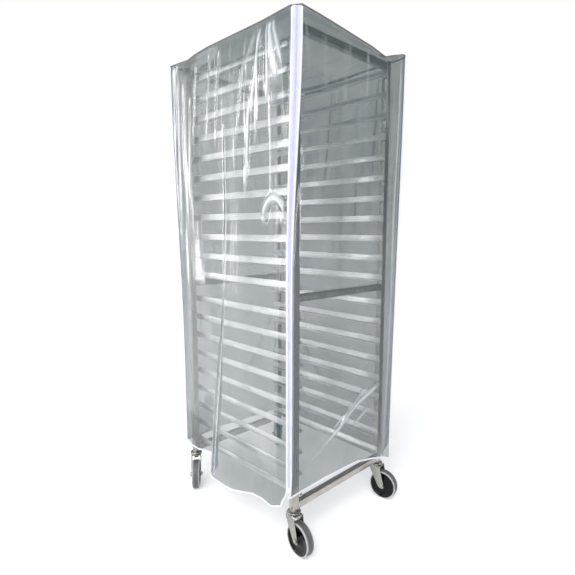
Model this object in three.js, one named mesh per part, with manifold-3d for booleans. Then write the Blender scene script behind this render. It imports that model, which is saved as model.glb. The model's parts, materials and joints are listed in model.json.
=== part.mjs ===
// A twenty-tier end-loading sheet pan rack on four swivel casters, under a clear zip-up cover.
// Millimetres, +Z up, X across the rack, Y along its depth, with the loading end towards -Y.
// The origin is on the floor, under the middle of the rack.

import * as THREE from 'three';
import { mergeVertices } from 'three/addons/utils/BufferGeometryUtils.js';
import Module from 'manifold-3d';

const wasm = await Module();
wasm.setup();

// Gap kept between pieces that touch, and how far a weld bites into the post.
const seatGap = 0.3;
const weldBite = 0.3;

// Welded rack: square tube posts, angle runners and square tube cross bars.
const rackWidth = 520.7;
const rackDepth = 660.4;
const postSize = 25.4;
const postWall = 2;
const runnerLeg = 25.4;
const runnerThickness = 2.4;
const tierPitch = 79.4;
const tiersAboveMiddle = 11;
const tiersBelowMiddle = 9;
const lowestTierRise = 49.1;
const middleTierStep = 104.1;
const middleBarDrop = 39.3;
const bottomBarRise = 6.6;
const topTierRoom = 3.8;
const barSize = 25.4;
const barWall = 2;
const capThickness = 2;
const capPlugDepth = 12;
const plugClearance = 0.3;

// Casters.
const casterLead = 36;
const wheelRadius = 60;
const forkRoom = 30;
const treadWidth = 32;
const tyreThickness = 12;
const hubRadius = 15;
const hubOverhang = 1.5;
const rimRecess = 1.5;
const webThickness = 20;
const axleRadius = 4.8;
const boreClearance = 0.5;
const legGap = 1.2;
const legThickness = 2.5;
const legTopBack = 22;
const legTopFront = 27;
const legEyeRadius = 12.5;
const raceRadius = 25;
const raceHeight = 3.8;
const ballRingHeight = 2.6;
const yokePlateThickness = 3;
const kingPinRadius = 5.5;
const kingPinHeadRadius = 9;
const kingPinHeadHeight = 4;
const stemLength = 58;
const socketLength = 50;
const socketClearance = 0.3;
const socketWall = 0.6;
const stemBoltRadius = 3;
const stemBoltHeadRadius = 5;
const stemBoltHeadHeight = 2.5;
const stemBoltRise = 15;
const boltHeadRadius = 8;
const boltHeadHeight = 5;
const roundSides = 20;
const wheelSides = 24;
const boltSides = 12;

// Clear cover: five panels, two zips up the front corners, a bound hem and a piped top seam.
const coverSideRoom = 31.65;
const coverEndRoom = 38.8;
const sheetThickness = 1;
const hemRise = 50;
const bindingWidth = 8;
const bindingProud = 1;
const pipingRadius = 2;
const zipChamfer = 17;
const tapeThickness = 1.2;
const chainGap = 1.6;
const zipFootRise = 45;
const sliderLength = 30;
const sliderWidth = 12;
const sliderThickness = 5;

// Where each caster trails at rest, as a heading in degrees from +X.
const corners = [
  { name: 'front_left', x: -1, y: -1, heading: 263.9 },
  { name: 'front_right', x: 1, y: -1, heading: 278.7 },
  { name: 'back_left', x: -1, y: 1, heading: 234.4 },
  { name: 'back_right', x: 1, y: 1, heading: 54.4 },
];

const aluminium = new THREE.MeshStandardMaterial({ color: 0xb9bbb8, roughness: 0.38, metalness: 1 });
const zinc = new THREE.MeshStandardMaterial({ color: 0xa9aba6, roughness: 0.32, metalness: 1 });
const wheelPlastic = new THREE.MeshStandardMaterial({ color: 0x111112, roughness: 0.45, metalness: 0 });
const tyreRubber = new THREE.MeshStandardMaterial({ color: 0x4b4c4c, roughness: 0.7, metalness: 0 });
const bushPlastic = new THREE.MeshStandardMaterial({ color: 0x2b2b2d, roughness: 0.6, metalness: 0 });
const clearVinyl = new THREE.MeshStandardMaterial({
  color: 0xdfe8ec,
  roughness: 0.12,
  metalness: 0,
  transparent: true,
  opacity: 0.28,
});
const whiteBinding = new THREE.MeshStandardMaterial({ color: 0xf1f2f2, roughness: 0.6, metalness: 0 });
const zipTape = new THREE.MeshStandardMaterial({ color: 0xdcdcee, roughness: 0.65, metalness: 0 });

// ---- Shape helpers ----

// Sends local x to y, local y to z and local z to x.
const alongX = new THREE.Matrix4().makeBasis(
  new THREE.Vector3(0, 1, 0),
  new THREE.Vector3(0, 0, 1),
  new THREE.Vector3(1, 0, 0),
);

function named(name, geometry, material) {
  const mesh = new THREE.Mesh(geometry, material);
  mesh.name = name;
  return mesh;
}

function block(x0, x1, y0, y1, z0, z1) {
  const geometry = new THREE.BoxGeometry(x1 - x0, y1 - y0, z1 - z0);
  return geometry.translate((x0 + x1) / 2, (y0 + y1) / 2, (z0 + z1) / 2);
}

function outline(points) {
  return new THREE.Shape(points.map(([a, b]) => new THREE.Vector2(a, b)));
}

function squareRing(outer, inner) {
  const shape = outline(squarePoints(outer));
  shape.holes.push(new THREE.Path(squarePoints(inner).map(([a, b]) => new THREE.Vector2(a, b))));
  return shape;
}

function squarePoints(size) {
  const h = size / 2;
  return [[-h, -h], [h, -h], [h, h], [-h, h]];
}

function extruded(shape, depth, curveSegments = 12) {
  return new THREE.ExtrudeGeometry(shape, { depth, bevelEnabled: false, curveSegments });
}

// A round piece about Z, from a profile of [radius, height] points that closes on itself or on the axis.
function turned(profile, sides = roundSides) {
  const geometry = new THREE.LatheGeometry(profile.map(([r, h]) => new THREE.Vector2(r, h)), sides);
  return geometry.rotateX(Math.PI / 2);
}

function toSolid(geometry) {
  const bare = new THREE.BufferGeometry();
  bare.setAttribute('position', (geometry.index ? geometry.toNonIndexed() : geometry).getAttribute('position'));
  const merged = mergeVertices(bare, 1e-4);
  return new wasm.Manifold(new wasm.Mesh({
    numProp: 3,
    vertProperties: merged.attributes.position.array,
    triVerts: new Uint32Array(merged.index.array),
  }));
}

function fromSolid(solid) {
  const mesh = solid.getMesh();
  const geometry = new THREE.BufferGeometry();
  geometry.setAttribute('position', new THREE.BufferAttribute(new Float32Array(mesh.vertProperties), 3));
  geometry.setIndex(new THREE.BufferAttribute(new Uint32Array(mesh.triVerts), 1));
  const flat = geometry.toNonIndexed();
  flat.computeVertexNormals();
  return flat;
}

function cylinder(radius, z0, z1, sides = roundSides) {
  return turned([[0, z0], [radius, z0], [radius, z1], [0, z1]], sides);
}

// ---- Welded rack ----

const postMiddleX = (rackWidth - postSize) / 2;
const postMiddleY = (rackDepth - postSize) / 2;
const postInnerX = rackWidth / 2 - postSize;
const casterHeight = 2 * wheelRadius + forkRoom;
const postFoot = casterHeight;
const lowestTier = postFoot + lowestTierRise;
const firstTierAbove = lowestTier + (tiersBelowMiddle - 1) * tierPitch + middleTierStep;
const highestTier = firstTierAbove + (tiersAboveMiddle - 1) * tierPitch;
const postTop = highestTier + runnerLeg + topTierRoom + barSize;

function tierHeights() {
  const heights = [];
  for (let i = 0; i < tiersBelowMiddle; i += 1) {
    heights.push(lowestTier + i * tierPitch);
  }
  for (let i = 0; i < tiersAboveMiddle; i += 1) {
    heights.push(firstTierAbove + i * tierPitch);
  }
  return heights;
}

// One angle runner: the upright leg is welded to the posts and the ledge points into the rack.
function runner(side, height) {
  const face = postInnerX + weldBite;
  const points = [
    [face, height],
    [face, height + runnerLeg],
    [postInnerX - runnerThickness, height + runnerLeg],
    [postInnerX - runnerThickness, height + runnerThickness],
    [postInnerX - runnerLeg, height + runnerThickness],
    [postInnerX - runnerLeg, height],
  ];
  const geometry = extruded(outline(points.map(([x, z]) => [side * x, z])), rackDepth);
  return geometry.rotateX(Math.PI / 2).translate(0, rackDepth / 2, 0);
}

function sideFrame(side) {
  const post = extruded(squareRing(postSize, postSize - 2 * postWall), postTop - postFoot);
  post.translate(side * postMiddleX, -postMiddleY, postFoot);
  let frame = toSolid(post).add(toSolid(post.clone().translate(0, 2 * postMiddleY, 0)));
  for (const height of tierHeights()) {
    frame = frame.add(toSolid(runner(side, height)));
  }
  for (const end of [-1, 1]) {
    const hole = cylinder(stemBoltRadius + seatGap, -postSize, postSize, boltSides);
    hole.rotateY(Math.PI / 2);
    hole.translate(side * postMiddleX, end * postMiddleY, postFoot + stemBoltRise);
    frame = frame.subtract(toSolid(hole));
  }
  return fromSolid(frame);
}

function crossBar(end, height) {
  const length = 2 * (postInnerX - seatGap);
  const bar = extruded(squareRing(barSize, barSize - 2 * barWall), length);
  bar.applyMatrix4(alongX);
  return bar.translate(-length / 2, end * (rackDepth - barSize) / 2, height + barSize / 2);
}

function postCap() {
  const plug = postSize - 2 * (postWall + plugClearance);
  const plate = block(-postSize / 2, postSize / 2, -postSize / 2, postSize / 2, seatGap, seatGap + capThickness);
  const stub = block(-plug / 2, plug / 2, -plug / 2, plug / 2, -capPlugDepth, seatGap + capThickness / 2);
  return fromSolid(toSolid(plate).add(toSolid(stub)));
}

function weldedRack() {
  const group = new THREE.Group();
  const middleBar = firstTierAbove - middleBarDrop;
  group.add(named('left_side_frame', sideFrame(-1), aluminium));
  group.add(named('right_side_frame', sideFrame(1), aluminium));
  for (const [place, end] of [['front', -1], ['back', 1]]) {
    group.add(named(`top_${place}_bar`, crossBar(end, postTop - barSize), aluminium));
    group.add(named(`middle_${place}_bar`, crossBar(end, middleBar), aluminium));
    group.add(named(`bottom_${place}_bar`, crossBar(end, postFoot + bottomBarRise), aluminium));
  }
  for (const corner of corners) {
    const cap = named(`post_cap_${corner.name}`, postCap(), aluminium);
    cap.position.set(corner.x * postMiddleX, corner.y * postMiddleY, postTop);
    group.add(cap);
  }
  return group;
}

// ---- Casters, each in its own frame: the stem on Z, the foot of the post at z = 0 ----

const racePlane = -seatGap - raceHeight;
const ballRingTop = racePlane - seatGap;
const yokeTop = ballRingTop - ballRingHeight - seatGap;
const wheelMiddle = wheelRadius - casterHeight;
const legInner = treadWidth / 2 + hubOverhang + legGap;
const legOuter = legInner + legThickness;
const rimRadius = wheelRadius - tyreThickness;
const stemRadius = postSize / 2 - postWall - socketClearance - socketWall - seatGap;

function stemSocket() {
  const outer = postSize - 2 * (postWall + socketClearance);
  const body = block(-outer / 2, outer / 2, -outer / 2, outer / 2, 0, socketLength);
  const bore = cylinder(stemRadius + seatGap, -1, socketLength + 1);
  const cross = cylinder(stemBoltRadius + seatGap, -postSize, postSize, boltSides);
  cross.rotateY(Math.PI / 2).translate(0, 0, stemBoltRise);
  return fromSolid(toSolid(body).subtract(toSolid(bore)).subtract(toSolid(cross)));
}

// The stem, the upper race and the king pin that the yoke turns on are one turned piece.
function casterStem() {
  const headTop = yokeTop - yokePlateThickness - seatGap;
  const piece = turned([
    [0, headTop - kingPinHeadHeight],
    [kingPinHeadRadius, headTop - kingPinHeadHeight],
    [kingPinHeadRadius, headTop],
    [kingPinRadius, headTop],
    [kingPinRadius, racePlane],
    [raceRadius - 2, racePlane],
    [raceRadius, racePlane + 1.2],
    [raceRadius, -seatGap - 0.8],
    [raceRadius - 1.5, -seatGap],
    [stemRadius, -seatGap],
    [stemRadius, stemLength - 3],
    [stemRadius - 2, stemLength],
    [0, stemLength],
  ]);
  const cross = cylinder(stemBoltRadius + seatGap, -postSize, postSize, boltSides);
  cross.rotateY(Math.PI / 2).translate(0, 0, stemBoltRise);
  return fromSolid(toSolid(piece).subtract(toSolid(cross)));
}

function stemBolt() {
  const reach = postSize / 2 + seatGap;
  const bolt = turned([
    [0, -reach],
    [stemBoltRadius, -reach],
    [stemBoltRadius, reach],
    [stemBoltHeadRadius, reach],
    [stemBoltHeadRadius, reach + stemBoltHeadHeight * 0.6],
    [stemBoltHeadRadius * 0.6, reach + stemBoltHeadHeight],
    [0, reach + stemBoltHeadHeight],
  ], boltSides);
  return bolt.rotateY(Math.PI / 2);
}

function ballRing() {
  const inner = kingPinRadius + 1.5;
  const outer = raceRadius - 2;
  const low = ballRingTop - ballRingHeight;
  return turned([
    [inner, low],
    [outer - 0.8, low],
    [outer, low + ballRingHeight / 2],
    [outer - 0.8, ballRingTop],
    [inner, ballRingTop],
    [inner, low],
  ]);
}

// One leg of the yoke, drawn in x and z: wide at the plate and narrow round the axle.
function legOutline() {
  const top = yokeTop - yokePlateThickness / 2;
  const shape = new THREE.Shape();
  shape.moveTo(-legTopBack, top);
  shape.lineTo(-legTopBack, yokeTop - 3 * yokePlateThickness);
  shape.lineTo(casterLead - legEyeRadius * 0.94, wheelMiddle + legEyeRadius * 0.34);
  shape.absarc(casterLead, wheelMiddle, legEyeRadius, Math.PI * 0.89, Math.PI * 2.08, false);
  shape.lineTo(legTopFront, yokeTop - 3 * yokePlateThickness);
  shape.lineTo(legTopFront, top);
  return shape;
}

function yoke() {
  const plate = block(
    -legTopBack, legTopFront, -legOuter, legOuter, yokeTop - yokePlateThickness, yokeTop - seatGap,
  );
  const race = cylinder(raceRadius - 1, yokeTop - yokePlateThickness / 2, yokeTop);
  let body = toSolid(plate).add(toSolid(race));
  for (const side of [-1, 1]) {
    const leg = extruded(legOutline(), legThickness, 8);
    leg.rotateX(Math.PI / 2).translate(0, side > 0 ? legOuter : -legInner, 0);
    body = body.add(toSolid(leg));
  }
  const pinHole = cylinder(kingPinRadius + 0.5, yokeTop - 2 * yokePlateThickness, yokeTop + 1);
  const axleHole = cylinder(axleRadius + seatGap, -legOuter - 1, legOuter + 1, boltSides);
  axleHole.rotateX(Math.PI / 2).translate(casterLead, 0, wheelMiddle);
  return fromSolid(body.subtract(toSolid(pinHole)).subtract(toSolid(axleHole)));
}

// The axle bolt, its washer-faced head on one side and its nut on the other.
function axleBolt() {
  const seat = legOuter + seatGap;
  const tip = seat + boltHeadHeight;
  return turned([
    [0, -tip],
    [boltHeadRadius, -tip],
    [boltHeadRadius, -seat],
    [axleRadius, -seat],
    [axleRadius, seat],
    [boltHeadRadius, seat],
    [boltHeadRadius, tip],
    [0, tip],
  ], boltSides).rotateX(Math.PI / 2);
}

function wheelCore() {
  const bore = axleRadius + boreClearance;
  const hub = treadWidth / 2 + hubOverhang;
  const rim = treadWidth / 2 - rimRecess;
  const web = webThickness / 2;
  const half = [
    [hubRadius - 1, hub],
    [hubRadius, hub - 1],
    [hubRadius + 2, web],
    [rimRadius - 5, web],
    [rimRadius - 3, rim],
    [rimRadius, rim],
  ];
  const mirrored = half.map(([r, h]) => [r, -h]);
  const profile = [[bore, -hub], ...mirrored, ...half.reverse(), [bore, hub], [bore, -hub]];
  return turned(profile, wheelSides).rotateX(Math.PI / 2);
}

function tyre() {
  const inner = rimRadius + seatGap;
  const half = treadWidth / 2;
  return turned([
    [inner, -half + 1],
    [wheelRadius - 5, -half],
    [wheelRadius - 1.5, -half + 3],
    [wheelRadius, -half / 2],
    [wheelRadius, half / 2],
    [wheelRadius - 1.5, half - 3],
    [wheelRadius - 5, half],
    [inner, half - 1],
    [inner, -half + 1],
  ], wheelSides).rotateX(Math.PI / 2);
}

function caster(corner) {
  const group = new THREE.Group();
  group.position.set(corner.x * postMiddleX, corner.y * postMiddleY, casterHeight);
  group.add(named(`stem_socket_${corner.name}`, stemSocket(), bushPlastic));
  group.add(named(`caster_stem_${corner.name}`, casterStem(), zinc));
  const bolt = named(`stem_bolt_${corner.name}`, stemBolt(), zinc);
  bolt.position.z = stemBoltRise;
  bolt.rotation.z = corner.x < 0 ? Math.PI : 0;
  group.add(bolt);
  const swivel = new THREE.Group();
  swivel.rotation.z = THREE.MathUtils.degToRad(corner.heading);
  swivel.add(named(`ball_ring_${corner.name}`, ballRing(), zinc));
  swivel.add(named(`yoke_${corner.name}`, yoke(), zinc));
  const wheel = new THREE.Group();
  wheel.position.set(casterLead, 0, wheelMiddle);
  wheel.add(named(`axle_bolt_${corner.name}`, axleBolt(), zinc));
  wheel.add(named(`wheel_core_${corner.name}`, wheelCore(), wheelPlastic));
  wheel.add(named(`tyre_${corner.name}`, tyre(), tyreRubber));
  swivel.add(wheel);
  group.add(swivel);
  return group;
}

// ---- Clear cover ----

const coverHalfX = rackWidth / 2 + coverSideRoom;
const coverHalfY = rackDepth / 2 + coverEndRoom;
const hemHeight = casterHeight + hemRise;
const coverSeat = postTop + capThickness + 2 * seatGap;
const panelTop = coverSeat - seatGap;
const panelFoot = hemHeight + bindingWidth + seatGap;
const cornerX = coverHalfX - zipChamfer - seatGap;
const cornerY = coverHalfY - zipChamfer - seatGap;
const backStop = coverHalfY - sheetThickness - bindingProud - 2 * seatGap;

// A panel or its binding in the plane of a side wall, proud of the sheet by a given amount.
function sideStrip(side, proud, z0, z1) {
  const outer = side * (coverHalfX + proud);
  const inner = side * (coverHalfX - sheetThickness - proud);
  return block(Math.min(outer, inner), Math.max(outer, inner), -cornerY, backStop - proud, z0, z1);
}

function backStrip(proud, z0, z1) {
  const inner = coverHalfY - sheetThickness - proud;
  return block(-coverHalfX, coverHalfX, inner, coverHalfY + proud, z0, z1);
}

function frontStrip(proud, z0, z1) {
  const inner = -coverHalfY + sheetThickness + proud;
  return block(-cornerX, cornerX, -coverHalfY - proud, inner, z0, z1);
}

function topPiping() {
  const ring = new THREE.Shape();
  const x = coverHalfX;
  const y = coverHalfY;
  const w = 2 * pipingRadius;
  ring.moveTo(-x, -y);
  ring.lineTo(x, -y);
  ring.lineTo(x, y);
  ring.lineTo(-x, y);
  const hole = [[-x + w, -y + w], [x - w, -y + w], [x - w, y - w], [-x + w, y - w]];
  ring.holes.push(new THREE.Path(hole.map(([a, b]) => new THREE.Vector2(a, b))));
  return extruded(ring, w).translate(0, 0, coverSeat + sheetThickness + seatGap);
}

// Half of a zip, drawn across the cut corner: from the panel's edge to the chain at the middle.
// Local x runs along the cut corner, local y points out of it.
function tapeHalf(towardsSide) {
  const edge = zipChamfer * Math.SQRT2 / 2 - tapeThickness - seatGap;
  const length0 = hemHeight + zipFootRise;
  const x0 = towardsSide ? -edge : chainGap / 2;
  const x1 = towardsSide ? -chainGap / 2 : edge;
  return block(x0, x1, -tapeThickness, 0, length0, panelTop - seatGap);
}

function zipSlider() {
  const foot = hemHeight + zipFootRise;
  return block(-sliderWidth / 2, sliderWidth / 2, seatGap, seatGap + sliderThickness, foot, foot + sliderLength);
}

function zipCorner(side) {
  const group = new THREE.Group();
  const word = side < 0 ? 'left' : 'right';
  group.position.set(side * (coverHalfX - zipChamfer / 2), -coverHalfY + zipChamfer / 2, 0);
  group.rotation.z = side < 0 ? Math.PI * 0.75 : -Math.PI * 0.75;
  const sideIsNegative = side > 0;
  group.add(named(`zip_tape_${word}_side`, tapeHalf(sideIsNegative), zipTape));
  group.add(named(`zip_tape_${word}_flap`, tapeHalf(!sideIsNegative), zipTape));
  group.add(named(`zip_slider_${word}`, zipSlider(), whiteBinding));
  return group;
}

function cover() {
  const group = new THREE.Group();
  const hemTop = hemHeight + bindingWidth;
  const top = block(-coverHalfX, coverHalfX, -coverHalfY, coverHalfY, coverSeat, coverSeat + sheetThickness);
  group.add(named('cover_top', top, clearVinyl));
  group.add(named('cover_left_panel', sideStrip(-1, 0, panelFoot, panelTop), clearVinyl));
  group.add(named('cover_right_panel', sideStrip(1, 0, panelFoot, panelTop), clearVinyl));
  group.add(named('cover_back_panel', backStrip(0, panelFoot, panelTop), clearVinyl));
  group.add(named('cover_front_flap', frontStrip(0, panelFoot, panelTop), clearVinyl));
  group.add(named('hem_binding_left', sideStrip(-1, bindingProud, hemHeight, hemTop), whiteBinding));
  group.add(named('hem_binding_right', sideStrip(1, bindingProud, hemHeight, hemTop), whiteBinding));
  group.add(named('hem_binding_back', backStrip(bindingProud, hemHeight, hemTop), whiteBinding));
  group.add(named('hem_binding_flap', frontStrip(bindingProud, hemHeight, hemTop), whiteBinding));
  group.add(named('top_seam_piping', topPiping(), whiteBinding));
  group.add(zipCorner(-1));
  group.add(zipCorner(1));
  return group;
}

const rack = new THREE.Group();
rack.add(weldedRack());
for (const corner of corners) {
  rack.add(caster(corner));
}
rack.add(cover());

export default rack;
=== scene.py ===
import json
import math

import bmesh
import bpy
import numpy as np
from mathutils import Matrix, Vector


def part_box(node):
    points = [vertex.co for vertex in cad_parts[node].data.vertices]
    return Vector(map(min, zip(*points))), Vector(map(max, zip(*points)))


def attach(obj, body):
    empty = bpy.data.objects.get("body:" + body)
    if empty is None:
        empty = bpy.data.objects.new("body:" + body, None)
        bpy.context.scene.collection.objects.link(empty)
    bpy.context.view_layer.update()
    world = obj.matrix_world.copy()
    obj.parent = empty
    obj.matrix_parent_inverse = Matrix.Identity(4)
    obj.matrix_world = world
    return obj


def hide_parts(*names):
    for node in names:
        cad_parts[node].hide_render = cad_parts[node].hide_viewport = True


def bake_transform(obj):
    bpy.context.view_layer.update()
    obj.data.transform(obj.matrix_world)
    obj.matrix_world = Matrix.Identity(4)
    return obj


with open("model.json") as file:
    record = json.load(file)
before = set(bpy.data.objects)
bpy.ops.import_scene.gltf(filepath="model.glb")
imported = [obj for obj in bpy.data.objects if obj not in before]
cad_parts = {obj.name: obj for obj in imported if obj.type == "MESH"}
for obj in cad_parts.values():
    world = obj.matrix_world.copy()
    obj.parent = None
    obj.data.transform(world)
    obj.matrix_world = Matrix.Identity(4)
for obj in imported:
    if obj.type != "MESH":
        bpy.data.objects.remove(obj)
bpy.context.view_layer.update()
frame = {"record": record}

MM = 0.001
NEAR = 1e-4  # how close counts as on a plane
MERGE = 1e-6  # how close two points are joined
STITCH_LENGTH = 4 * MM
THREAD = 0.5 * MM
CORNERS = {
    "front_left": (-1, -1),
    "front_right": (1, -1),
    "back_left": (-1, 1),
    "back_right": (1, 1),
}
HINGES = {joint["name"]: joint for joint in frame["record"]["behaviour"]["joints"]}


# ---- Modelling helpers ----

def deselect():
    if bpy.context.object and bpy.context.object.mode != "OBJECT":
        bpy.ops.object.mode_set(mode="OBJECT")
    bpy.ops.object.select_all(action="DESELECT")


def make_active(obj):
    deselect()
    obj.select_set(True)
    bpy.context.view_layer.objects.active = obj


def named_primitive(name, size=(1, 1, 1)):
    obj = bpy.context.active_object
    obj.name = name
    obj.data.name = name
    obj.scale = size
    bpy.ops.object.transform_apply(location=True, rotation=True, scale=True)
    return obj


def box_start(name, low, high):
    deselect()
    low, high = Vector(low), Vector(high)
    bpy.ops.mesh.primitive_cube_add(size=1, location=(low + high) / 2)
    return named_primitive(name, high - low)


def edit(obj, mode):
    make_active(obj)
    bpy.ops.object.mode_set(mode="EDIT")
    bpy.ops.mesh.select_mode(type=mode)
    bpy.ops.mesh.select_all(action="DESELECT")


def done():
    bpy.ops.object.mode_set(mode="OBJECT")


def grab(obj, kind, test):
    """Opens a mesh for editing with only the faces, edges or verts that pass a test picked."""
    edit(obj, {"faces": "FACE", "edges": "EDGE", "verts": "VERT"}[kind])
    mesh = bmesh.from_edit_mesh(obj.data)
    mesh.normal_update()
    for part in getattr(mesh, kind):
        if test(part):
            part.select_set(True)
    mesh.select_flush_mode()
    bmesh.update_edit_mesh(obj.data)


def draw_out(x, y, z):
    bpy.ops.mesh.extrude_region_move(TRANSFORM_OT_translate={"value": (x, y, z)})


def face_outward(obj):
    edit(obj, "FACE")
    bpy.ops.mesh.select_all(action="SELECT")
    bpy.ops.mesh.normals_make_consistent(inside=False)
    done()


def apply_modifier(obj, kind, **settings):
    make_active(obj)
    modifier = obj.modifiers.new(kind.lower(), kind)
    for key, value in settings.items():
        setattr(modifier, key, value)
    bpy.ops.object.modifier_apply(modifier=modifier.name)


def soften(obj, width, segments=2, angle=40):
    apply_modifier(
        obj, "BEVEL", width=width, segments=segments,
        limit_method="ANGLE", angle_limit=math.radians(angle), harden_normals=False,
    )
    make_active(obj)
    bpy.ops.object.shade_smooth_by_angle(angle=math.radians(35))
    deselect()


def plated(obj, thickness):
    apply_modifier(obj, "SOLIDIFY", thickness=thickness, offset=-1, use_even_offset=True)


def turned(name, rings, sides=48, hollow=False):
    """A round piece about Z, drawn out from its first (radius, height) ring to its last."""
    deselect()
    radius, height = rings[0]
    bpy.ops.mesh.primitive_circle_add(
        vertices=sides, radius=radius, location=(0, 0, height),
        fill_type="NOTHING" if hollow else "NGON",
    )
    obj = named_primitive(name)
    bpy.ops.object.mode_set(mode="EDIT")
    bpy.ops.mesh.select_mode(type="EDGE" if hollow else "FACE")
    bpy.ops.mesh.select_all(action="SELECT")
    for wide, high in rings[1:]:
        step = {"value": (0, 0, high - height)}
        if hollow:
            bpy.ops.mesh.extrude_edges_move(TRANSFORM_OT_translate=step)
        else:
            bpy.ops.mesh.extrude_region_move(TRANSFORM_OT_translate=step)
        share = wide / radius
        bpy.ops.transform.resize(value=(share, share, 1), center_override=(0, 0, high))
        radius, height = wide, high
    bpy.ops.mesh.select_all(action="SELECT")
    bpy.ops.mesh.remove_doubles(threshold=MERGE)
    bpy.ops.mesh.normals_make_consistent(inside=False)
    done()
    return obj


def placed(name, data):
    obj = bpy.data.objects.new(name, data)
    bpy.context.collection.objects.link(obj)
    return obj


def gathered(name, source, places):
    """One object of many copies of a piece, each moved by its own matrix."""
    joined = bmesh.new()
    for place in places:
        copy = source.data.copy()
        copy.transform(place)
        if place.determinant() < 0:
            copy.flip_normals()
        joined.from_mesh(copy)
        bpy.data.meshes.remove(copy)
    mesh = bpy.data.meshes.new(name)
    joined.to_mesh(mesh)
    joined.free()
    for material in source.data.materials:
        mesh.materials.append(material)
    return placed(name, mesh)


def joined(parts):
    deselect()
    for part in parts:
        part.select_set(True)
    bpy.context.view_layer.objects.active = parts[0]
    bpy.ops.object.join()
    return parts[0]


def discard(*objects):
    for obj in objects:
        bpy.data.objects.remove(obj, do_unlink=True)


def paint(obj, material):
    obj.data.materials.clear()
    obj.data.materials.append(material)


def clothe(obj, material, slot, body, *nodes):
    paint(obj, material)
    if body:
        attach(obj, body)
    if nodes:
        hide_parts(*nodes)
    return obj


def ease(value, low=0.0, high=1.0):
    part = np.clip((value - low) / (high - low), 0, 1)
    return part * part * (3 - 2 * part)


# ---- Materials ----

class Nodes:
    """Short calls for building one node tree."""

    def __init__(self, tree):
        self.tree = tree

    def add(self, kind, inputs=None, **settings):
        node = self.tree.nodes.new(kind)
        for key, value in settings.items():
            setattr(node, key, value)
        for key, value in (inputs or {}).items():
            self.feed(node.inputs[key], value)
        return node

    def feed(self, socket, value):
        if isinstance(value, bpy.types.NodeSocket):
            self.tree.links.new(value, socket)
        else:
            socket.default_value = value

    def maths(self, operation, a, b=0.0, clamp=False):
        node = self.add("ShaderNodeMath", {0: a, 1: b}, operation=operation, use_clamp=clamp)
        return node.outputs[0]

    def times(self, a, b, clamp=False):
        return self.maths("MULTIPLY", a, b, clamp)

    def plus(self, a, b, clamp=False):
        return self.maths("ADD", a, b, clamp)

    def minus(self, a, b):
        return self.maths("SUBTRACT", a, b)

    def noise(self, vector, scale, detail, roughness):
        node = self.add(
            "ShaderNodeTexNoise",
            {"Vector": vector, "Scale": scale, "Detail": detail, "Roughness": roughness},
        )
        return node.outputs["Fac"]

    def stretch(self, vector, scale):
        node = self.add("ShaderNodeVectorMath", {0: vector, 1: scale}, operation="MULTIPLY")
        return node.outputs[0]

    def band(self, value, low, high, to_low=0.0, to_high=1.0):
        return self.add(
            "ShaderNodeMapRange",
            {"Value": value, "From Min": low, "From Max": high,
             "To Min": to_low, "To Max": to_high},
            interpolation_type="SMOOTHSTEP",
        ).outputs["Result"]

    def mix(self, factor, a, b):
        node = self.add("ShaderNodeMix", data_type="RGBA")
        self.feed(node.inputs[0], factor)
        self.feed(node.inputs[6], a)
        self.feed(node.inputs[7], b)
        return node.outputs[2]


def group_of(name, **inputs):
    """A node group with the given inputs that gives a colour, a roughness and a height."""
    tree = bpy.data.node_groups.new(name, "ShaderNodeTree")
    outputs = {"Color": "Color", "Roughness": "Float", "Height": "Float"}
    for way, sockets in (("INPUT", inputs), ("OUTPUT", outputs)):
        for label, kind in sockets.items():
            tree.interface.new_socket(label, in_out=way, socket_type=f"NodeSocket{kind}")
    nodes = Nodes(tree)
    given, out = nodes.add("NodeGroupInput"), nodes.add("NodeGroupOutput")
    return tree, nodes, given.outputs, out.inputs


def metal_grain_group():
    """Drawn or rolled metal: long fine lines, cloudy handling marks and tiny pits."""
    tree, n, given, out = group_of(
        "metal_grain", Coordinates="Vector", Stretch="Vector",
        Light="Color", Dark="Color", Roughness="Float", Spread="Float",
    )
    place = given["Coordinates"]
    lines = n.noise(n.stretch(place, given["Stretch"]), 1.0, 6.0, 0.65)
    clouds = n.band(n.noise(place, 11.0, 5.0, 0.6), 0.42, 0.72)
    pits = n.noise(place, 900.0, 2.0, 0.5)
    shade = n.plus(n.times(n.band(lines, 0.3, 0.7), 0.45), n.times(clouds, 0.5), True)
    spread = n.times(n.minus(shade, 0.4), given["Spread"])
    n.feed(out["Color"], n.mix(shade, given["Light"], given["Dark"]))
    n.feed(out["Roughness"], n.plus(given["Roughness"], spread, True))
    n.feed(out["Height"], n.plus(n.times(lines, 0.8), n.times(pits, 0.2)))
    return tree


def moulded_grain_group():
    """Fine moulded grain with scuffs, for plastic and rubber."""
    tree, n, given, out = group_of(
        "moulded_grain", Coordinates="Vector", Clean="Color", Scuffed="Color",
        Roughness="Float", Scuffing="Float",
    )
    place = given["Coordinates"]
    grain = n.noise(place, 1400.0, 3.0, 0.6)
    scuffs = n.band(n.noise(place, 55.0, 7.0, 0.7), 0.5, 0.68)
    amount = n.times(scuffs, given["Scuffing"], True)
    n.feed(out["Color"], n.mix(amount, given["Clean"], given["Scuffed"]))
    n.feed(out["Roughness"], n.plus(given["Roughness"], n.times(amount, 0.35), True))
    n.feed(out["Height"], n.plus(grain, n.times(scuffs, 0.5)))
    return tree


METAL_GRAIN = metal_grain_group()
MOULDED_GRAIN = moulded_grain_group()


def new_material(name, **plain):
    material = bpy.data.materials.new(name)
    material.use_nodes = True
    tree = material.node_tree
    shader = tree.nodes["Principled BSDF"]
    for key, value in plain.items():
        shader.inputs[key.replace("_", " ")].default_value = value
    n = Nodes(tree)
    place = n.add("ShaderNodeTexCoord").outputs["Object"]
    return material, n, shader, place


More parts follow.
